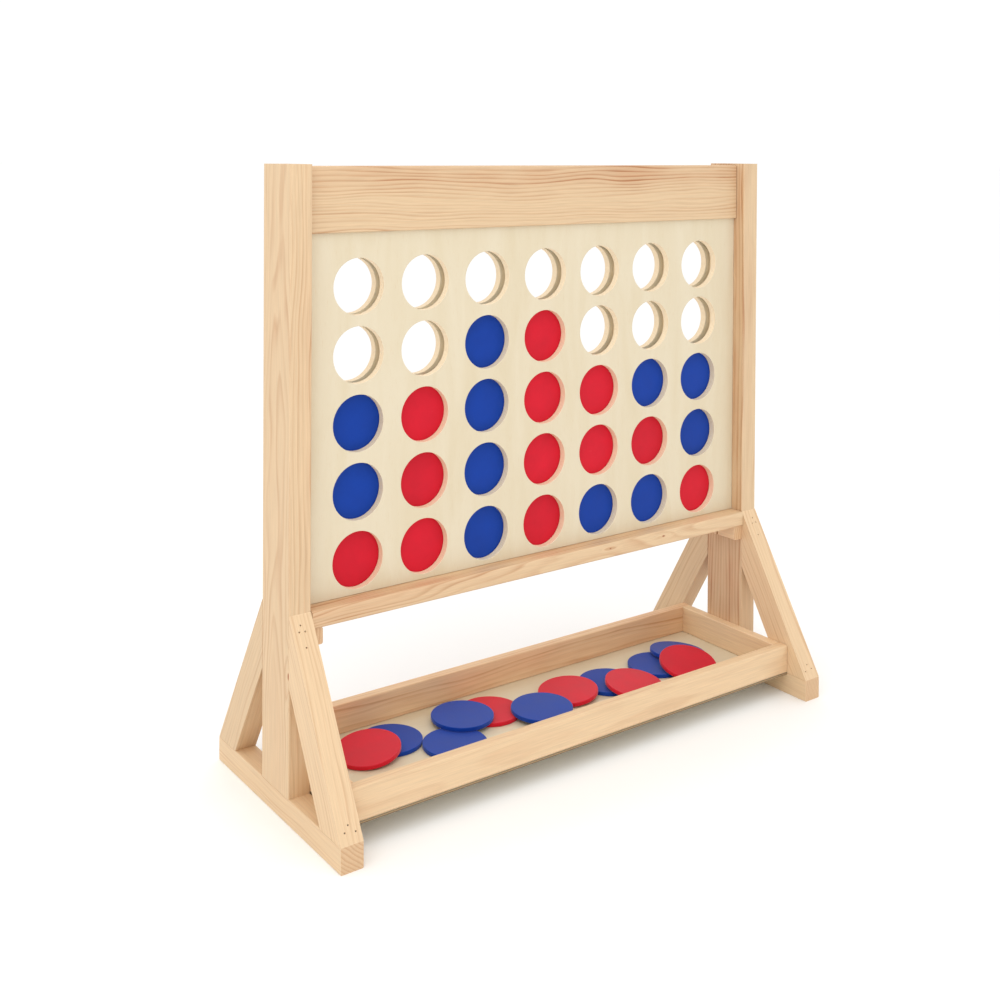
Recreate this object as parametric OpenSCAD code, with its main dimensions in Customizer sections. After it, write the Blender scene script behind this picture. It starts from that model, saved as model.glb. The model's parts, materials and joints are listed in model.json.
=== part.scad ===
// Giant four in a row: a seven-column, five-row lawn game on two A-frame ends,
// with a pull-out release board under the columns and a disc tray at the bottom.
// Millimetres. X runs along the board, Y from front to back, Z up.
// The origin is on the ground, midway between the two end frames.

/* [Game grid] */
// Number of columns
columns = 7; // [4:1:7]
// Number of rows
rows = 5; // [4:1:5]
// Distance between column centres
column_pitch = 115; // [112:1:125]
// Distance between row centres, which is also the room that one disc takes
row_pitch = 100; // [98:1:100]
// Diameter of the sight holes
hole_d = 84; // [60:1:88]

/* [Discs] */
// Gap left round each disc in its cell
disc_slack = 0.3; // [0.3:0.1:1]
// Thickness of a disc
disc_t = 6.5; // [5:0.5:6.5]
// Eased rim of a disc
disc_ease = 0.8; // [0.2:0.1:1.5]

/* [Board] */
// Thickness of the two perforated panels
panel_t = 12; // [9:1:15]
// Width of the slot between the panels
slot_t = 12; // [10:1:14]
// Width of the strips that part the columns
divider_w = 13; // [10:1:14]
// Height of the top rails
rail_h = 96; // [60:1:110]
// Thickness of the top rails
rail_t = 18; // [15:1:20]
// Gap between a rail or panel and each post
end_gap = 1; // [0.5:0.5:2]

/* [End frames] */
// Thickness of the posts, feet and braces, along X
stock_t = 34; // [30:1:40]
// Depth of a post, along Y
post_d = 85; // [75:1:95]
// Height of the post tops above the ground
post_top = 921; // [915:1:940]
// Distance between the inner faces of the posts
inner_w = 868; // [860:1:900]
// Height of a foot
foot_h = 36; // [30:1:45]
// Length of a foot
foot_l = 386; // [340:2:420]
// Width of a brace
brace_w = 50; // [40:1:60]
// Saw-cut easing on the long edges of the boards
ease = 1.2; // [0.5:0.1:2]

/* [Release board] */
// Height of the release board's top face, where the bottom discs rest
release_top = 292.5; // [285:0.5:300]
// Thickness of the release board
release_t = 25; // [20:1:30]
// Width of the release board, along Y
release_w = 90; // [86:1:100]
// How far the release board stands proud of the posts in front
release_proud = 3.5; // [0:0.5:10]
// Rounding of the release board's edges and of the cleats
release_r = 3; // [1:0.5:5]
// Size of each cleat along X, Y and Z
cleat_size = [19, 40, 24];

/* [Tray] */
// Front face of the tray
tray_front_y = -152; // [-170:1:-130]
// Back face of the tray
tray_back_y = 106; // [90:1:150]
// Thickness of the tray boards
tray_t = 18; // [12:1:20]
// Height of the tray's rim above the ground
tray_rim = 84.5; // [70:0.5:110]
// Height of the top of the tray's floor
tray_floor_top = 38; // [36:1:42]
// Thickness of the tray's plywood floor
tray_floor_t = 4; // [3:0.5:6]

/* [Fasteners] */
// Diameter of a brad
brad_d = 1.8; // [1.2:0.1:2.5]
// Length of a brad
brad_l = 40; // [30:1:50]
// Depth that a brad's head is punched below the surface
brad_sink = 1.2; // [0.5:0.1:2]
// Diameter of a foot screw
screw_d = 5; // [4:0.5:6]
// Length of a foot screw
screw_l = 90; // [70:1:100]

/* [Hidden] */
$fn = 96;
tiny = 0.05;

// Pieces in play, one string for each column, from the bottom up: r is red and b is blue
played = ["rbb", "rrr", "bbbb", "rrrr", "brr", "brb", "rbb"];

// Spare discs lying in the tray: [colour, x, y, direction of its high side, slope, lift].
// The direction and the slope are in degrees, and the lift is that of the lowest edge.
spares = [
    ["r", -314, 4, 22, 7.3, 0.2],
    ["b", -266, 20, 0, 0, 0.2],
    ["b", -191, -46, 0, 0, 0.2],
    ["b", -137, 14, 0, 0, 6.8],
    ["r", -84, 14, 0, 0, 0.2],
    ["b", -18, -38, 40, 1.2, 6.5],
    ["r", 62, -6, 0, 4.5, 0.2],
    ["b", 146, -10, 0, 0, 0.2],
    ["r", 166, -54, 116, 7.7, 0.2],
    ["b", 262, -4, 0, 0, 0.2],
    ["b", 324, 6, 186, 5.9, 0.2],
    ["r", 294, -50, 80, 13.1, 0.3]
];

disc_d = row_pitch - disc_slack;
grid_w = columns * column_pitch;
panel_y = slot_t / 2;
release_bottom = release_top - release_t;
release_front_y = -post_d / 2 - release_proud;
panel_bottom = release_top + 0.5;
rail_top = post_top - 3;
rail_bottom = rail_top - rail_h;
first_row_z = release_top + row_pitch / 2;
side_strip_w = (inner_w - grid_w + divider_w) / 2;
divider_top = rail_top - 12;
brace_run = (foot_l - post_d) / 2;
brace_rise = release_top - foot_h;
brace_angle = atan(brace_run / brace_rise);
brace_cut_y = brace_w / cos(brace_angle);
brace_cut_z = brace_w / sin(brace_angle);
post_x = inner_w / 2;
foot_screw_ys = [-24, 24];
screw_recess = 2;
screw_head_d = 10;
screw_head_h = 3.5;
// Brads at a brace's top end run along Y: [x within the stock, height above the ground]
top_brads = [[14, 279.5], [10, 272], [19, 271.5], [15.5, 253]];
// Brads at its bottom end run in square to its face: [x within the stock, distance in from the foot's end]
bottom_brads = [[10, 8], [17, 12], [26, 7]];

function column_x(c) = (c - (columns + 1) / 2) * column_pitch;
function row_z(r) = first_row_z + (r - 1) * row_pitch;
function disc_name(c, r) = str("disc_c", c, "_", r);
function spare_name(i) = str("tray_disc_", i);

played_names = [for (c = [1:columns]) for (r = [1:len(played[c - 1])]) disc_name(c, r)];
spare_names = [for (i = [1:len(spares)]) spare_name(i)];

pine = "burlywood";
birch = "blanchedalmond";
steel = "silver";

// Board section with its four long edges eased
module eased_section(a, b) {
    polygon([
        [ease, 0], [a - ease, 0], [a, ease], [a, b - ease],
        [a - ease, b], [ease, b], [0, b - ease], [0, ease]
    ]);
}

// Board section with its four long edges rounded
module rounded_section(a, b, r) {
    translate([r, 0]) square([a - 2 * r, b]);
    translate([0, r]) square([a, b - 2 * r]);
    for (x = [r, a - r]) {
        for (y = [r, b - r]) {
            translate([x, y]) circle(r);
        }
    }
}

// Board standing up, from its lowest corner
module upright_board(size) {
    linear_extrude(size[2]) eased_section(size[0], size[1]);
}

// Board lying along X, from its lowest corner
module long_board(size) {
    rotate([90, 0, 90]) linear_extrude(size[0]) eased_section(size[1], size[2]);
}

// Board lying along Y, from its lowest corner
module cross_board(size) {
    translate([0, size[1], 0]) rotate([90, 0, 0]) linear_extrude(size[1]) eased_section(size[0], size[2]);
}

// Draws its children on the left end frame, or mirrored onto the right one
module on_side(side) {
    if (side == "left") translate([-post_x - stock_t, 0, 0]) children();
    else mirror([1, 0, 0]) translate([-post_x - stock_t, 0, 0]) children();
}

// Draws its children at the front of an end frame, or mirrored to the rear
module at_end(end) {
    if (end == "front") children();
    else mirror([0, 1, 0]) children();
}

// Straight run of a brad from its head, plus the punched hole above it when cut
module brad(cut = false) {
    d = cut ? brad_d + tiny : brad_d;
    translate([0, 0, brad_sink]) cylinder(d = d, h = brad_l);
    if (cut) translate([0, 0, -brad_sink]) cylinder(d = brad_d + 0.8, h = 2 * brad_sink);
}

// All brads of one brace, in the frame of the left front corner
module brace_brads(cut = false) {
    for (b = top_brads) {
        face_y = -post_d / 2 - (release_top - b[1]) * tan(brace_angle);
        translate([b[0], face_y, b[1]]) rotate([-90, 0, 0]) brad(cut);
    }
    for (b = bottom_brads) {
        face_z = foot_h + b[1] / tan(brace_angle);
        translate([b[0], -foot_l / 2 + b[1], face_z]) rotate([-90 - brace_angle, 0, 0]) brad(cut);
    }
}

// Every brad of one side
module side_brads(cut = false) {
    for (end = ["front", "rear"]) at_end(end) brace_brads(cut);
}

// Screws that come up through a foot into its post
module post_screws(cut = false) {
    d = cut ? screw_d + tiny : screw_d;
    head_d = cut ? screw_head_d + tiny : screw_head_d;
    for (y = foot_screw_ys) {
        translate([stock_t / 2, y, screw_recess]) {
            cylinder(d = d, h = screw_l);
            rotate_extrude() polygon([[0, 0], [head_d / 2, 0], [d / 2, screw_head_h], [0, screw_head_h]]);
            if (cut) translate([0, 0, -screw_recess - 1]) cylinder(d = head_d, h = screw_recess + 1);
        }
    }
}

module post(side) {
    color(pine) on_side(side) difference() {
        translate([0, -post_d / 2, foot_h]) upright_board([stock_t, post_d, post_top - foot_h]);
        side_brads(true);
        post_screws(true);
    }
}

module foot(side) {
    color(pine) on_side(side) difference() {
        translate([0, -foot_l / 2, 0]) cross_board([stock_t, foot_l, foot_h]);
        side_brads(true);
        post_screws(true);
    }
}

module brace(side, end) {
    color(pine) on_side(side) at_end(end) difference() {
        rotate([90, 0, 90]) linear_extrude(stock_t) polygon([
            [-post_d / 2, release_top],
            [-foot_l / 2, foot_h],
            [-foot_l / 2 + brace_cut_y, foot_h],
            [-post_d / 2, release_top - brace_cut_z]
        ]);
        brace_brads(true);
    }
}

module top_rail(end) {
    length = inner_w - 2 * end_gap;
    color(pine) at_end(end) translate([-length / 2, -panel_y - rail_t, rail_bottom])
        long_board([length, rail_t, rail_h]);
}

module panel(end) {
    length = inner_w - end_gap;
    color(birch) at_end(end) difference() {
        translate([-length / 2, -panel_y - panel_t, panel_bottom])
            cube([length, panel_t, rail_bottom - panel_bottom]);
        for (c = [1:columns]) {
            for (r = [1:rows]) {
                translate([column_x(c), 0, row_z(r)])
                    rotate([90, 0, 0]) cylinder(d = hole_d, h = 4 * panel_t);
            }
        }
    }
}

module column_dividers() {
    color(birch) for (c = [1:columns - 1]) {
        translate([column_x(c) + column_pitch / 2 - divider_w / 2, -panel_y, panel_bottom])
            cube([divider_w, slot_t, divider_top - panel_bottom]);
    }
}

module side_strips() {
    color(birch) for (x = [-post_x, post_x - side_strip_w]) {
        translate([x, -panel_y, panel_bottom]) cube([side_strip_w, slot_t, divider_top - panel_bottom]);
    }
}

module release_board() {
    length = inner_w - 2 * end_gap;
    color(pine) translate([-length / 2, release_front_y, release_bottom])
        rotate([90, 0, 90]) linear_extrude(length) rounded_section(release_w, release_t, release_r);
}

// One cleat under each end of the release board, on the inner faces of the posts
module cleats(end) {
    color(pine) for (side = ["left", "right"]) on_side(side) at_end(end)
        translate([stock_t, -post_d / 2 + cleat_size[1], release_bottom - 0.3 - cleat_size[2]])
            rotate([90, 0, 0]) linear_extrude(cleat_size[1])
                rounded_section(cleat_size[0], cleat_size[2], release_r);
}

// Long board of the tray, with its outer face at y
module tray_long_board(y) {
    length = inner_w - end_gap;
    color(pine) translate([-length / 2, y, tray_floor_top])
        long_board([length, tray_t, tray_rim - tray_floor_top]);
}

module tray_front() {
    tray_long_board(tray_front_y);
}

module tray_rear() {
    tray_long_board(tray_back_y - tray_t);
}

module tray_end(side) {
    depth = tray_back_y - tray_front_y - 2 * tray_t;
    color(pine) on_side(side) translate([stock_t, tray_front_y + tray_t, tray_floor_top])
        cross_board([tray_t, depth, tray_rim - tray_floor_top]);
}

module tray_floor() {
    length = inner_w - end_gap;
    color(birch) translate([-length / 2, tray_front_y, tray_floor_top - tray_floor_t])
        cube([length, tray_back_y - tray_front_y, tray_floor_t]);
}

module brads() {
    color(steel) for (side = ["left", "right"]) on_side(side) side_brads();
}

module foot_screws() {
    color(steel) for (side = ["left", "right"]) on_side(side) post_screws();
}

// A disc lying flat on z = 0, with its rim eased
module disc(colour) {
    r = disc_d / 2;
    color(colour == "r" ? "crimson" : "royalblue") rotate_extrude() polygon([
        [0, 0], [r - disc_ease, 0], [r, disc_ease],
        [r, disc_t - disc_ease], [r - disc_ease, disc_t], [0, disc_t]
    ]);
}

// A disc standing in its cell, just behind the front panel
module played_disc(c, r) {
    translate([column_x(c), -panel_y + 0.5 + disc_t, row_z(r)])
        rotate([90, 0, 0]) disc(played[c - 1][r - 1]);
}

// A disc lying in the tray, on the floor or leaning on another
module spare_disc(i) {
    spare = spares[i - 1];
    slope = spare[4];
    translate([spare[1], spare[2], tray_floor_top + spare[5] + disc_d / 2 * sin(slope)])
        rotate([0, 0, spare[3]]) rotate([0, -slope, 0]) disc(spare[0]);
}

post("left");  // post_left
post("right");  // post_right
foot("left");  // foot_left
foot("right");  // foot_right
brace("left", "front");  // brace_left_front
brace("left", "rear");  // brace_left_rear
brace("right", "front");  // brace_right_front
brace("right", "rear");  // brace_right_rear
top_rail("front");  // top_rail_front
top_rail("rear");  // top_rail_rear
panel("front");  // panel_front
panel("rear");  // panel_rear
column_dividers();
side_strips();
release_board();
cleats("front");  // front_cleats
cleats("rear");  // rear_cleats
tray_front();
tray_rear();
tray_end("left");  // tray_left
tray_end("right");  // tray_right
tray_floor();
brads();
foot_screws();
for (c = [1:columns]) {
    for (r = [1:len(played[c - 1])]) {
        played_disc(c, r);
    }
}
for (i = [1:len(spares)]) {
    spare_disc(i);
}
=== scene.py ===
import json
import math

import bpy
from mathutils import Matrix, Vector

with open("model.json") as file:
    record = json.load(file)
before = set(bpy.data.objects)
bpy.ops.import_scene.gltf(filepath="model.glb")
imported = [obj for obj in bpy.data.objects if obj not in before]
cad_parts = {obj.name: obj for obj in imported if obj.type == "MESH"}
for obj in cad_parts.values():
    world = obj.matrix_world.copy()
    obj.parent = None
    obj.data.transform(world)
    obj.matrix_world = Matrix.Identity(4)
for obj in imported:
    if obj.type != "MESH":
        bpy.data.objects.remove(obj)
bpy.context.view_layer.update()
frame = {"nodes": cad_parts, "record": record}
print("frame loaded:", len(frame["nodes"]), "nodes")

mm = 0.001


def hexColour(code):
    # sRGB hex to the linear colour that the shaders want
    channels = [int(code[i:i + 2], 16) / 255 for i in (1, 3, 5)]
    linear = [c / 12.92 if c <= 0.04045 else ((c + 0.055) / 1.055) ** 2.4 for c in channels]
    return (*linear, 1.0)


def addNode(tree, kind, links=None, stops=None, **settings):
    # links takes sockets or plain values, by the name or the number of the input
    made = tree.nodes.new(kind)
    for key, value in settings.items():
        setattr(made, key, value)
    for key, value in (links or {}).items():
        if isinstance(value, bpy.types.NodeSocket):
            tree.links.new(value, made.inputs[key])
        else:
            made.inputs[key].default_value = value
    if stops:
        ramp = made.color_ramp.elements
        while len(ramp) < len(stops):
            ramp.new(0.5)
        for element, (place, colour) in zip(ramp, stops):
            element.position = place
            element.color = colour
    return made


def newMaterial(name):
    made = bpy.data.materials.new(name)
    made.use_nodes = True
    made.node_tree.nodes.clear()
    return made, made.node_tree


def finishMaterial(tree, surface):
    # one shader, with its even values set straight on the sockets
    shader = addNode(tree, "ShaderNodeBsdfPrincipled", surface)
    addNode(tree, "ShaderNodeOutputMaterial", {"Surface": shader.outputs[0]})


def grey(value):
    return (value, value, value, 1.0)


softening = {
    "join": 0.01 * mm,   # facet corners closer than this are one corner
    "sharp": 30,         # facets that meet at more degrees than this have an arris
}


def dress(names, material, bevel):
    # the finish of one or more solids, and their arrises softened by the bevel's width
    for name in names:
        piece = frame["nodes"][name]
        piece.data.materials.clear()
        piece.data.materials.append(material)
        if "custom_normal" in piece.data.attributes:
            piece.data.attributes.remove(piece.data.attributes["custom_normal"])
        piece.data.polygons.foreach_set("use_smooth", [True] * len(piece.data.polygons))
        join = piece.modifiers.new("closed corners", "WELD")
        join.merge_threshold = softening["join"]
        soften = piece.modifiers.new("softened arrises", "BEVEL")
        soften.width = bevel
        soften.segments = 2
        soften.limit_method = "ANGLE"
        soften.angle_limit = math.radians(softening["sharp"])
        soften.harden_normals = True
        soften.use_clamp_overlap = True


pine = {
    "springWood": "#e6c79f",   # pale early growth
    "summerWood": "#b97c4e",   # thin darker line at the end of each ring
    "heartWood": "#dcb48c",    # pinker wood towards the middle of the log
    "wornArris": "#efd3ae",
    "endGrain": "#c49a72",
    "knot": "#a4613c",
    "ring": 5.0 * mm,          # spacing of the rings, unless a board says otherwise
    "sway": 80 * mm,           # the rings bend over about this far across, and five times it lengthwise
    "swayDepth": 9 * mm,       # how far they bend
    "ripple": 40 * mm,         # smaller bends of single rings
    "fade": 30 * mm,           # patches where the rings are stronger or fainter
    "fibre": 1.4 * mm,         # coarser than real fibres, so that they show
    "fibreLength": 55 * mm,
    "relief": 0.12 * mm,       # summer wood and fibres stand this proud
    "arris": 1.2 * mm,         # width of the paler wear
    "roughness": 0.56,
    "softened": 0.6 * mm,
    "braceSoftened": 0.8 * mm,
    "braceRun": 150.5,         # mm from a brace's foot to its head, level
    "braceRise": 256.5,        # and upright
}


def makePine(name, along, pith, heart=40, lean=0, tilt=0, contrast=1, knots=(), spacing=None,
             tone=1):
    # Planed softwood, cut out of a round log: lines down each board's length that arch where
    # the log leans, arcs on its ends, fine fibres that catch the light, and a darker end grain.
    # pith is the log's centre across the board, and heart is the radius of its pinker wood.
    # They, the knots and the spacing are in mm, and lean is in degrees. tilt is 1 or -1 for a
    # board that slopes as the rear or the front braces do.
    made, tree = newMaterial(name)
    slope = tilt * math.atan2(pine["braceRun"], pine["braceRise"])
    axis = "XYZ".index(along)
    across = [i for i in range(3) if i != axis]
    grain = [1.0 if i == axis else 0.0 for i in range(3)]
    spacing = spacing * mm if spacing else pine["ring"]
    place = addNode(tree, "ShaderNodeTexCoord")
    turned = addNode(tree, "ShaderNodeVectorRotate",
                     {"Vector": place.outputs["Object"], "Angle": -slope}, rotation_type="X_AXIS")
    normal = addNode(tree, "ShaderNodeVectorRotate",
                     {"Vector": place.outputs["Normal"], "Angle": -slope}, rotation_type="X_AXIS")
    local = turned.outputs[0]

    # rings bend round the knots, far along the grain and little across it
    knotMask = None
    for x, y, z, radius in knots:
        away = addNode(tree, "ShaderNodeVectorMath",
                       {0: turned.outputs[0], 1: (x * mm, y * mm, z * mm)}, operation="SUBTRACT")
        spots = []
        for squeeze, inner, outer in ((0.5, 0.3, 1.0), (0.2, 0.0, 4.0)):
            oval = addNode(tree, "ShaderNodeVectorMath",
                           {0: away.outputs[0], 1: [squeeze if i == axis else 1.0 for i in range(3)]},
                           operation="MULTIPLY")
            reach = addNode(tree, "ShaderNodeVectorMath", {0: oval.outputs[0]}, operation="LENGTH")
            spots.append(addNode(tree, "ShaderNodeMapRange",
                                 {"Value": reach.outputs["Value"], "From Min": radius * mm * inner,
                                  "From Max": radius * mm * outer, "To Min": 1.0, "To Max": 0.0},
                                 interpolation_type="SMOOTHSTEP").outputs[0])
        push = [0.0 if i == axis else 2.0 * radius * mm for i in range(3)]
        bend = addNode(tree, "ShaderNodeVectorMath", {0: push, "Scale": spots[1]}, operation="SCALE")
        local = addNode(tree, "ShaderNodeVectorMath", {0: local, 1: bend.outputs[0]}).outputs[0]
        if knotMask is None:
            knotMask = spots[0]
        else:
            knotMask = addNode(tree, "ShaderNodeMath", {0: knotMask, 1: spots[0]},
                               operation="MAXIMUM").outputs[0]

    # the log, shrunk five times along its length, and another stretch of it for each board
    middle = [0.0, 0.0, 0.0]
    middle[across[0]], middle[across[1]] = pith[0] * mm, pith[1] * mm
    turn = [0.0 if i == axis else math.radians(lean) for i in range(3)]
    log = addNode(tree, "ShaderNodeMapping",
                  {"Vector": local, "Location": middle, "Rotation": turn,
                   "Scale": [1.0 + 4.0 * g for g in grain]}, vector_type="TEXTURE")
    board = addNode(tree, "ShaderNodeObjectInfo")
    jump = addNode(tree, "ShaderNodeVectorMath", {0: grain, "Scale": board.outputs["Random"]},
                   operation="SCALE")
    stretch = addNode(tree, "ShaderNodeVectorMath", {0: log.outputs[0], 1: jump.outputs[0]}).outputs[0]
    swayNoise = addNode(tree, "ShaderNodeTexNoise",
                        {"Vector": stretch, "Scale": 1 / pine["sway"], "Detail": 2.0})
    sway = addNode(tree, "ShaderNodeVectorMath", {0: swayNoise.outputs["Color"], 1: (0.5, 0.5, 0.5)},
                   operation="SUBTRACT")
    swayed = addNode(tree, "ShaderNodeVectorMath",
                     {0: sway.outputs[0], 1: (4 * pine["swayDepth"],) * 3, 2: log.outputs[0]},
                     operation="MULTIPLY_ADD")
    ringScale = 2 * math.pi / 20 / spacing   # one ring of the wave texture to each spacing
    rings = addNode(tree, "ShaderNodeTexWave",
                    {"Vector": swayed.outputs[0], "Scale": ringScale, "Distortion": 3.0, "Detail": 2.0,
                     "Detail Scale": 1 / (pine["ripple"] * ringScale), "Detail Roughness": 0.4},
                    wave_type="RINGS", rings_direction=along, wave_profile="SAW")
    ringLine = addNode(tree, "ShaderNodeValToRGB", {"Fac": rings.outputs["Fac"]},
                       stops=[(0.0, grey(0.02)), (0.4, grey(0.1)), (0.84, grey(0.9)), (1.0, grey(0.05))])

    # some rings are stronger than others, and each one comes and goes
    flat = addNode(tree, "ShaderNodeVectorMath", {0: swayed.outputs[0], 1: [1.0 - g for g in grain]},
                   operation="MULTIPLY")
    fromPith = addNode(tree, "ShaderNodeVectorMath", {0: flat.outputs[0]}, operation="LENGTH")
    radius = fromPith.outputs["Value"]
    years = addNode(tree, "ShaderNodeTexNoise", {"W": radius, "Scale": 1 / (1.6 * spacing), "Detail": 1.0},
                    noise_dimensions="1D")
    year = addNode(tree, "ShaderNodeMapRange",
                   {"Value": years.outputs["Fac"], "From Min": 0.35, "From Max": 0.7,
                    "To Min": 0.15 * contrast, "To Max": 1.1 * contrast})
    fade = addNode(tree, "ShaderNodeTexNoise",
                   {"Vector": stretch, "Scale": 1 / pine["fade"], "Detail": 2.0})
    patch = addNode(tree, "ShaderNodeMapRange",
                    {"Value": fade.outputs["Fac"], "From Min": 0.35, "From Max": 0.65, "To Min": 0.35})
    inHeart = addNode(tree, "ShaderNodeMapRange",
                      {"Value": radius, "From Min": heart * mm + pine["ring"] * 3,
                       "From Max": heart * mm - pine["ring"] * 3}, interpolation_type="SMOOTHSTEP")
    heartGain = addNode(tree, "ShaderNodeMapRange", {"Value": inHeart.outputs[0], "To Min": 0.5})
    strength = addNode(tree, "ShaderNodeMath", {0: year.outputs[0], 1: patch.outputs[0]},
                       operation="MULTIPLY")
    strength = addNode(tree, "ShaderNodeMath", {0: strength.outputs[0], 1: heartGain.outputs[0]},
                       operation="MULTIPLY")

    # the ends show every ring
    facing = addNode(tree, "ShaderNodeVectorMath", {0: normal.outputs[0], 1: grain},
                     operation="DOT_PRODUCT")
    endOn = addNode(tree, "ShaderNodeMath", {0: facing.outputs["Value"]}, operation="ABSOLUTE")
    endMask = addNode(tree, "ShaderNodeMapRange",
                      {"Value": endOn.outputs[0], "From Min": 0.6, "From Max": 0.9, "To Max": 0.6})
    strongest = addNode(tree, "ShaderNodeMath", {0: strength.outputs[0], 1: endMask.outputs[0]},
                        operation="MAXIMUM")
    lineMask = addNode(tree, "ShaderNodeMath", {0: ringLine.outputs["Color"], 1: strongest.outputs[0]},
                       operation="MULTIPLY", use_clamp=True)

    # fibres: long thin streaks
    slender = pine["fibre"] / pine["fibreLength"]
    fibreMap = addNode(tree, "ShaderNodeMapping",
                       {"Vector": local, "Scale": [slender if g else 1.0 for g in grain]})
    fibres = addNode(tree, "ShaderNodeTexNoise",
                     {"Vector": fibreMap.outputs[0], "Scale": 1 / pine["fibre"], "Detail": 3.0,
                      "Roughness": 0.6})

    pinker = addNode(tree, "ShaderNodeMath", {0: inHeart.outputs[0], 1: patch.outputs[0]},
                     operation="MULTIPLY")
    body = addNode(tree, "ShaderNodeMix", {0: pinker.outputs[0], 6: hexColour(pine["springWood"]),
                                           7: hexColour(pine["heartWood"])}, data_type="RGBA")
    lined = addNode(tree, "ShaderNodeMix", {0: lineMask.outputs[0], 6: body.outputs[2],
                                            7: hexColour(pine["summerWood"])}, data_type="RGBA")
    streak = addNode(tree, "ShaderNodeMapRange",
                     {"Value": fibres.outputs["Fac"], "From Min": 0.3, "From Max": 0.7,
                      "To Min": 0.9 * tone, "To Max": 1.04 * tone})
    streaked = addNode(tree, "ShaderNodeVectorMath",
                       {0: lined.outputs[2], "Scale": streak.outputs[0]}, operation="SCALE")

    # end grain drinks the oil and goes darker
    soaked = addNode(tree, "ShaderNodeMath", {0: endMask.outputs[0], 1: 0.55}, operation="MULTIPLY")
    ended = addNode(tree, "ShaderNodeMix", {0: soaked.outputs[0], 6: streaked.outputs[0],
                                            7: hexColour(pine["endGrain"])}, data_type="RGBA")

    # handled arrises are a little paler
    rounded = addNode(tree, "ShaderNodeBevel", {"Radius": pine["arris"]}, samples=3)
    geometry = addNode(tree, "ShaderNodeNewGeometry")
    turnIn = addNode(tree, "ShaderNodeVectorMath", {0: rounded.outputs[0], 1: geometry.outputs["Normal"]},
                     operation="DOT_PRODUCT")
    wornEdge = addNode(tree, "ShaderNodeMapRange",
                       {"Value": turnIn.outputs["Value"], "From Min": 0.995, "From Max": 0.86,
                        "To Max": 0.3})
    colour = addNode(tree, "ShaderNodeMix", {0: wornEdge.outputs[0], 6: ended.outputs[2],
                                             7: hexColour(pine["wornArris"])}, data_type="RGBA").outputs[2]
    if knotMask is not None:
        colour = addNode(tree, "ShaderNodeMix", {0: knotMask, 6: colour, 7: hexColour(pine["knot"])},
                         data_type="RGBA").outputs[2]

    rough = addNode(tree, "ShaderNodeMapRange",
                    {"Value": fibres.outputs["Fac"], "To Min": pine["roughness"] - 0.08,
                     "To Max": pine["roughness"] + 0.1})
    relief = addNode(tree, "ShaderNodeMath", {0: fibres.outputs["Fac"], 1: lineMask.outputs[0]})
    bump = addNode(tree, "ShaderNodeBump",
                   {"Height": relief.outputs[0], "Strength": 0.25, "Distance": pine["relief"]})
    finishMaterial(tree, {"Base Color": colour, "Roughness": rough.outputs[0], "IOR": 1.5,
                          "Normal": bump.outputs[0]})
    return made


ply = {
    "face": "#ddd0b5",         # cream rotary-cut veneer
    "figure": "#d3c29f",       # faint yellow figure
    "pores": "#cdb083",
    "cutEdge": ("#f8e8cc", "#e2c79f"),     # sawn hole walls: layers and glue lines, painted paler as light in the shaded holes
    "shadedEdge": ("#9c8462", "#6d5a41"),   # the tray floor's outer edge: its layers painted dark as the shade under the tray
    "veneer": 1.5 * mm,
    "cloud": 42 * mm,          # width of the figure, six times as long
    "pore": 1.1 * mm,          # coarser than real pores, so that they show
    "poreLength": 12 * mm,
    "relief": 0.06 * mm,
    "panelSoftened": 0.5 * mm,
    "stripSoftened": 0.4 * mm,
    "floorSoftened": 0.3 * mm,
}


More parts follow.
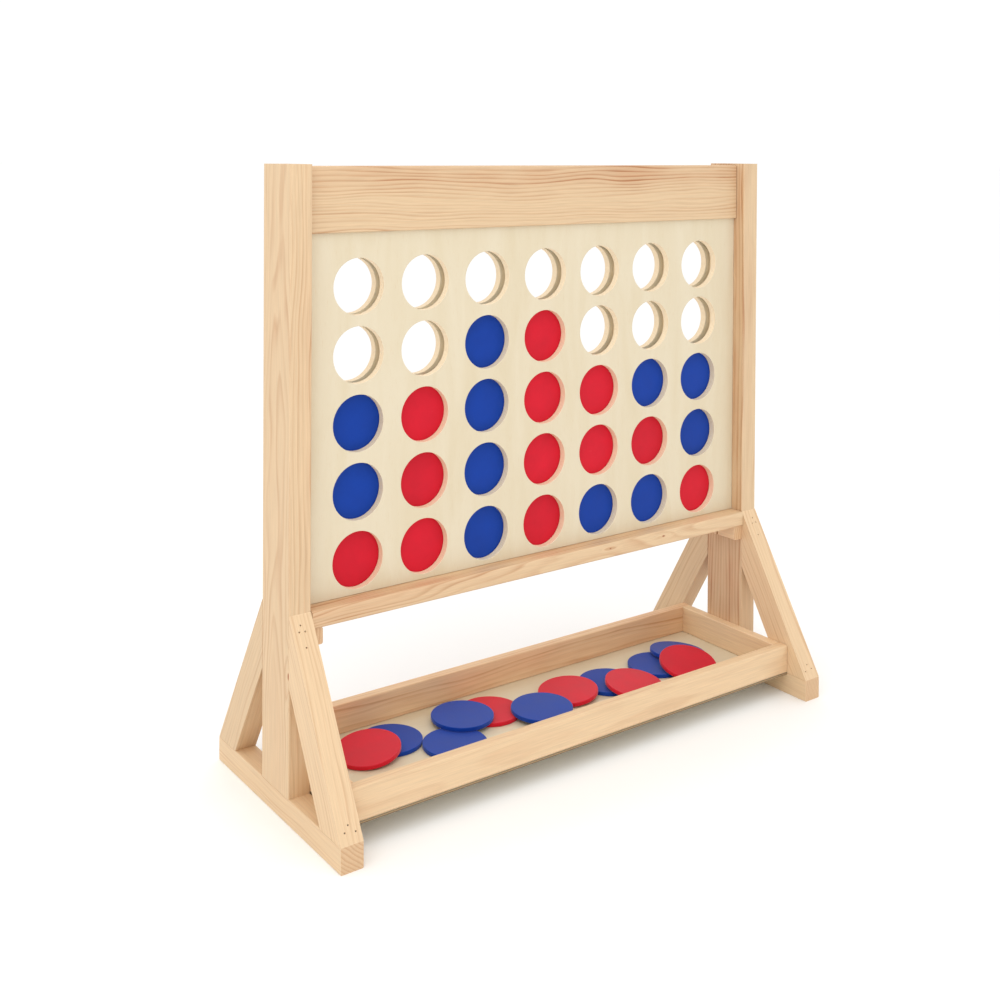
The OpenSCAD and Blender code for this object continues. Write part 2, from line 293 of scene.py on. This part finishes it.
def makePly(name, thin, edges):
    # Sanded plywood: a cream face with faint lengthwise figure and short pores, and striped edges.
    made, tree = newMaterial(name)
    axis = "XYZ".index(thin)
    long = 0 if thin == "Z" else 2
    place = addNode(tree, "ShaderNodeTexCoord")
    sheet = addNode(tree, "ShaderNodeMapping",
                    {"Vector": place.outputs["Object"],
                     "Scale": [1 / 6 if i == long else 1.0 for i in range(3)]})
    figure = addNode(tree, "ShaderNodeTexNoise",
                     {"Vector": sheet.outputs[0], "Scale": 1 / ply["cloud"], "Detail": 4.0,
                      "Roughness": 0.55, "Distortion": 0.6})
    figureMask = addNode(tree, "ShaderNodeMapRange",
                         {"Value": figure.outputs["Fac"], "From Min": 0.38, "From Max": 0.7, "To Max": 0.5})
    slender = ply["pore"] / ply["poreLength"]
    poreMap = addNode(tree, "ShaderNodeMapping",
                      {"Vector": place.outputs["Object"],
                       "Scale": [slender if i == long else 1.0 for i in range(3)]})
    pores = addNode(tree, "ShaderNodeTexNoise",
                    {"Vector": poreMap.outputs[0], "Scale": 1 / ply["pore"], "Detail": 2.0})
    poreMask = addNode(tree, "ShaderNodeMapRange",
                       {"Value": pores.outputs["Fac"], "From Min": 0.62, "From Max": 0.78, "To Max": 0.28})
    face = addNode(tree, "ShaderNodeMix", {0: figureMask.outputs[0], 6: hexColour(ply["face"]),
                                           7: hexColour(ply["figure"])}, data_type="RGBA")
    face = addNode(tree, "ShaderNodeMix", {0: poreMask.outputs[0], 6: face.outputs[2],
                                           7: hexColour(ply["pores"])}, data_type="RGBA")

    # the edges: one stripe to every two veneers
    layers = addNode(tree, "ShaderNodeTexWave",
                     {"Vector": place.outputs["Object"], "Scale": 2 * math.pi / 20 / (2 * ply["veneer"]),
                      "Distortion": 0.6, "Detail": 2.0},
                     wave_type="BANDS", bands_direction=thin, wave_profile="SIN")
    layerColour = addNode(tree, "ShaderNodeValToRGB", {"Fac": layers.outputs["Fac"]},
                          stops=[(0.5, hexColour(edges[0])), (0.8, hexColour(edges[1]))])
    side = [1.0 if i == axis else 0.0 for i in range(3)]
    facing = addNode(tree, "ShaderNodeVectorMath", {0: place.outputs["Normal"], 1: side},
                     operation="DOT_PRODUCT")
    flat = addNode(tree, "ShaderNodeMath", {0: facing.outputs["Value"]}, operation="ABSOLUTE")
    edgeMask = addNode(tree, "ShaderNodeMapRange",
                       {"Value": flat.outputs[0], "From Min": 0.85, "From Max": 0.5})
    colour = addNode(tree, "ShaderNodeMix", {0: edgeMask.outputs[0], 6: face.outputs[2],
                                             7: layerColour.outputs["Color"]}, data_type="RGBA")
    rough = addNode(tree, "ShaderNodeMapRange",
                    {"Value": pores.outputs["Fac"], "To Min": 0.52, "To Max": 0.7})
    bump = addNode(tree, "ShaderNodeBump",
                   {"Height": pores.outputs["Fac"], "Strength": 0.2, "Distance": ply["relief"]})
    finishMaterial(tree, {"Base Color": colour.outputs[2], "Roughness": rough.outputs[0], "IOR": 1.5,
                          "Normal": bump.outputs[0]})
    return made


paint = {
    "blue": ("#063b9d", "#3459ab"),   # colour, and the paler rim: worn paint and a painted highlight
    "red": ("#d1142c", "#dd5560"),
    "roughness": 0.5,
    "shine": 0.15,                    # little reflection face on
    "bloom": 0.28,                    # dusty lightness at a low angle
    "peel": 1.6 * mm,                 # sprayed paint's ripple, drawn coarse enough to show
    "cloud": 36 * mm,                 # patches of slightly thicker paint
    "scratch": 17 * mm,
    "rim": 0.9 * mm,                  # width of the paler rim, worn and with a painted highlight
    "relief": 0.1 * mm,
    "spread": 0.08,                   # how much darker the darkest disc is
    "softened": 0.5 * mm,
}


def makePaint(name, main, rubbedAndHighlit):
    # Satin paint on thin plywood: a soft ripple, small changes of tone from disc to disc,
    # a few hair scratches and a paler rim, partly worn paint and partly a painted highlight.
    made, tree = newMaterial(name)
    place = addNode(tree, "ShaderNodeTexCoord")
    disc = addNode(tree, "ShaderNodeObjectInfo")
    ripple = addNode(tree, "ShaderNodeTexNoise",
                     {"Vector": place.outputs["Object"], "Scale": 1 / paint["peel"], "Detail": 2.0})
    cloud = addNode(tree, "ShaderNodeTexNoise",
                    {"Vector": place.outputs["Object"], "Scale": 1 / paint["cloud"], "Detail": 3.0,
                     "Roughness": 0.6})
    tone = addNode(tree, "ShaderNodeMath",
                   {0: disc.outputs["Random"], 1: paint["spread"], 2: 1 - paint["spread"]},
                   operation="MULTIPLY_ADD")
    patch = addNode(tree, "ShaderNodeMapRange",
                    {"Value": cloud.outputs["Fac"], "From Min": 0.3, "From Max": 0.7,
                     "To Min": 0.94, "To Max": 1.06})
    level = addNode(tree, "ShaderNodeMath", {0: tone.outputs[0], 1: patch.outputs[0]},
                    operation="MULTIPLY")
    base = addNode(tree, "ShaderNodeVectorMath", {0: hexColour(main)[:3], "Scale": level.outputs[0]},
                   operation="SCALE")
    hair = addNode(tree, "ShaderNodeTexNoise",
                   {"Vector": place.outputs["Object"], "Scale": 1 / paint["scratch"], "Detail": 5.0,
                    "Distortion": 4.0})
    hairMask = addNode(tree, "ShaderNodeMapRange",
                       {"Value": hair.outputs["Fac"], "From Min": 0.7, "From Max": 0.8, "To Max": 0.25})
    # the paler rim is partly worn paint and partly a painted highlight; the hair scratches are wear
    rounded = addNode(tree, "ShaderNodeBevel", {"Radius": paint["rim"]}, samples=3)
    geometry = addNode(tree, "ShaderNodeNewGeometry")
    turn = addNode(tree, "ShaderNodeVectorMath", {0: rounded.outputs[0], 1: geometry.outputs["Normal"]},
                   operation="DOT_PRODUCT")
    rim = addNode(tree, "ShaderNodeMapRange",
                  {"Value": turn.outputs["Value"], "From Min": 0.99, "From Max": 0.85, "To Max": 0.4})
    wearAndHighlight = addNode(tree, "ShaderNodeMath", {0: rim.outputs[0], 1: hairMask.outputs[0]}, operation="MAXIMUM")
    colour = addNode(tree, "ShaderNodeMix", {0: wearAndHighlight.outputs[0], 6: base.outputs[0],
                                             7: hexColour(rubbedAndHighlit)}, data_type="RGBA")
    rough = addNode(tree, "ShaderNodeMapRange",
                    {"Value": cloud.outputs["Fac"], "To Min": paint["roughness"] - 0.06,
                     "To Max": paint["roughness"] + 0.12})
    bump = addNode(tree, "ShaderNodeBump",
                   {"Height": ripple.outputs["Fac"], "Strength": 0.15, "Distance": paint["relief"]})
    finishMaterial(tree, {"Base Color": colour.outputs[2], "Roughness": rough.outputs[0], "IOR": 1.5,
                          "Specular IOR Level": paint["shine"], "Sheen Weight": paint["bloom"],
                          "Sheen Roughness": 0.4, "Normal": bump.outputs[0]})
    return made


steel = {
    "brads": ("#4a443e", "#6b645b"),    # oiled bare wire, painted dark as the shade in its hole
    "screws": ("#8d8c88", "#b9b8b2"),   # zinc plate
    "mottle": 1.4 * mm,                 # coarser than real, so that it shows
    "relief": 0.05 * mm,
    "softened": 0.15 * mm,
}


def makeSteel(name, dark, light):
    # Small steel fasteners: a metal sheen broken up by a fine mottled roughness.
    made, tree = newMaterial(name)
    place = addNode(tree, "ShaderNodeTexCoord")
    mottle = addNode(tree, "ShaderNodeTexNoise",
                     {"Vector": place.outputs["Object"], "Scale": 1 / steel["mottle"], "Detail": 3.0})
    colour = addNode(tree, "ShaderNodeValToRGB", {"Fac": mottle.outputs["Fac"]},
                     stops=[(0.35, hexColour(dark)), (0.65, hexColour(light))])
    rough = addNode(tree, "ShaderNodeMapRange",
                    {"Value": mottle.outputs["Fac"], "To Min": 0.28, "To Max": 0.5})
    bump = addNode(tree, "ShaderNodeBump",
                   {"Height": mottle.outputs["Fac"], "Strength": 0.1, "Distance": steel["relief"]})
    finishMaterial(tree, {"Base Color": colour.outputs["Color"], "Roughness": rough.outputs[0],
                          "Metallic": 1.0, "Normal": bump.outputs[0]})
    return made


# the boards of each kind, where they were cut from the log, and how much their rings show
boards = {
    "planedPineRails": (["top_rail_front", "top_rail_rear"],
                        {"along": "X", "pith": (80, 1010), "heart": 160, "contrast": 1.8, "tone": 0.91}),
    "planedPineLeftPost": (["post_left"],
                           {"along": "Z", "pith": (-425, 6), "lean": 1.2, "contrast": 1.2, "tone": 0.92,
                            "knots": [(-468, -41, 208, 3.5)]}),
    # the right post's lower tone is painted shade: darker as the light falls off to the right
    "planedPineRightPost": (["post_right"],
                            {"along": "Z", "pith": (400, 110), "heart": 150, "spacing": 7,
                             "contrast": 1.6, "tone": 0.89}),
    "planedPineReleaseBoard": (["release_board"],
                               {"along": "X", "pith": (0, 283), "heart": 44, "lean": 2.2, "spacing": 4,
                                "contrast": 1.4, "tone": 0.95,
                                "knots": [(238, -46, 283, 2.2), (118, -46, 283, 1.6)]}),
    "planedPineTrayFront": (["tray_front"],
                            {"along": "X", "pith": (-60, 40), "lean": 0.4, "spacing": 6,
                             "contrast": 0.8}),
    # the tray rear's raised tone is painted light, lifting the shade inside the tray
    "planedPineTrayRear": (["tray_rear"],
                           {"along": "X", "pith": (0, 10), "heart": 300, "contrast": 0.8, "tone": 1.1}),
    "planedPineFeet": (["foot_left", "foot_right"],
                       {"along": "Y", "pith": (-300, 200), "spacing": 4.5, "contrast": 0.9,
                        "tone": 0.96}),
    "planedPineTrayEnds": (["tray_left", "tray_right", "front_cleats", "rear_cleats"],
                           {"along": "Y", "pith": (0, 300), "contrast": 0.7, "tone": 1.05}),
    "planedPineFrontBraces": (["brace_left_front", "brace_right_front"],
                              {"along": "Z", "pith": (0, 300), "tilt": -1, "tone": 0.97}),
    "planedPineRearBraces": (["brace_left_rear", "brace_right_rear"],
                             {"along": "Z", "pith": (0, -300), "tilt": 1, "contrast": 0.8,
                              "tone": 0.88}),
}
for name, (pieces, cut) in boards.items():
    softened = pine["braceSoftened"] if "tilt" in cut else pine["softened"]
    dress(pieces, makePine(name, **cut), softened)
print("pine done")

# the panels' cut edges are painted paler, as light in the holes
panelPly = makePly("sandedPlyPanels", "Y", ply["cutEdge"])
# the tray floor's outer edges are painted dark as shade
floorPly = makePly("sandedPlyTrayFloor", "Z", ply["shadedEdge"])
dress(["panel_front", "panel_rear"], panelPly, ply["panelSoftened"])
dress(["column_dividers", "side_strips"], panelPly, ply["stripSoftened"])
dress(["tray_floor"], floorPly, ply["floorSoftened"])
print("plywood done")

slots = {entry["node"]: entry["material_slot"] for entry in frame["record"]["subparts"]}
blueDiscs = [node for node, slot in slots.items() if slot == "blue_disc"]
redDiscs = [node for node, slot in slots.items() if slot == "red_disc"]
dress(blueDiscs, makePaint("satinBluePaint", *paint["blue"]), paint["softened"])
dress(redDiscs, makePaint("satinRedPaint", *paint["red"]), paint["softened"])
# the brads are painted dark as the shade in their holes
dress(["brads"], makeSteel("oiledSteelWire", *steel["brads"]), steel["softened"])
dress(["foot_screws"], makeSteel("zincPlatedSteel", *steel["screws"]), steel["softened"])
print("discs and fasteners done")


studio = {
    "floor": "#fbfbfa",
    "floorSize": 200.0,        # metres, so that its far edge melts into the white
    "floorCloud": 500 * mm,
    "world": 1.05,
}
lights = {   # where each hangs, what it points at and how wide it is, in metres, and its watts
    "key": {"place": (-2.1, -2.1, 2.4), "aim": (-0.1, 0, 0.45), "size": 2.2, "power": 11},
    "fill": {"place": (2.8, -1.8, 1.6), "aim": (0, 0, 0.45), "size": 2.0, "power": 1.5},
    "top": {"place": (-0.9, -0.5, 2.6), "aim": (-0.1, 0, 0.1), "size": 2.4, "power": 14},
}

bpy.ops.mesh.primitive_plane_add(size=studio["floorSize"])
floor = bpy.context.object
floor.name = "floor"
floorMaterial, floorTree = newMaterial("paleFloor")
floorPlace = addNode(floorTree, "ShaderNodeTexCoord")
floorTone = addNode(floorTree, "ShaderNodeTexNoise",
                    {"Vector": floorPlace.outputs["Object"], "Scale": 1 / studio["floorCloud"]})
floorRough = addNode(floorTree, "ShaderNodeMapRange",
                     {"Value": floorTone.outputs["Fac"], "To Min": 0.85, "To Max": 0.95})
finishMaterial(floorTree, {"Base Color": hexColour(studio["floor"]), "Roughness": floorRough.outputs[0]})
floor.data.materials.append(floorMaterial)

world = bpy.data.worlds.new("studio")
bpy.context.scene.world = world
world.use_nodes = True
world.node_tree.nodes["Background"].inputs["Color"].default_value = (1, 1, 1, 1)
world.node_tree.nodes["Background"].inputs["Strength"].default_value = studio["world"]

for name, light in lights.items():
    lamp = bpy.data.lights.new(name, "AREA")
    lamp.shape = "DISK"
    lamp.size = light["size"]
    lamp.energy = light["power"]
    holder = bpy.data.objects.new(name, lamp)
    bpy.context.scene.collection.objects.link(holder)
    holder.location = light["place"]
    ray = Vector(light["aim"]) - Vector(light["place"])
    holder.rotation_euler = ray.to_track_quat("-Z", "Y").to_euler()

camera = {
    "place": (-1.2604, -1.6272, 0.9387),
    "turn": 35.97,     # degrees from +Y towards +X
    "tip": -0.734,     # degrees up
    "roll": 0.323,
    "lens": 45.526,    # mm, on the sensor's width
    "sensor": 36,
    "drop": -0.3312,   # the frame hangs below the level view
    "nearest": 10 * mm,
}
eye = bpy.data.objects.new("camera", bpy.data.cameras.new("camera"))
bpy.context.scene.collection.objects.link(eye)
eye.data.sensor_width = camera["sensor"]
eye.data.lens = camera["lens"]
eye.data.shift_y = camera["drop"]
eye.data.clip_start = camera["nearest"]
eye.matrix_world = (Matrix.Translation(camera["place"])
                    @ Matrix.Rotation(-math.radians(camera["turn"]), 4, "Z")
                    @ Matrix.Rotation(math.radians(90 + camera["tip"]), 4, "X")
                    @ Matrix.Rotation(math.radians(camera["roll"]), 4, "Z"))
bpy.context.scene.camera = eye
bpy.context.scene.view_settings.view_transform = "Standard"
print("stage done")
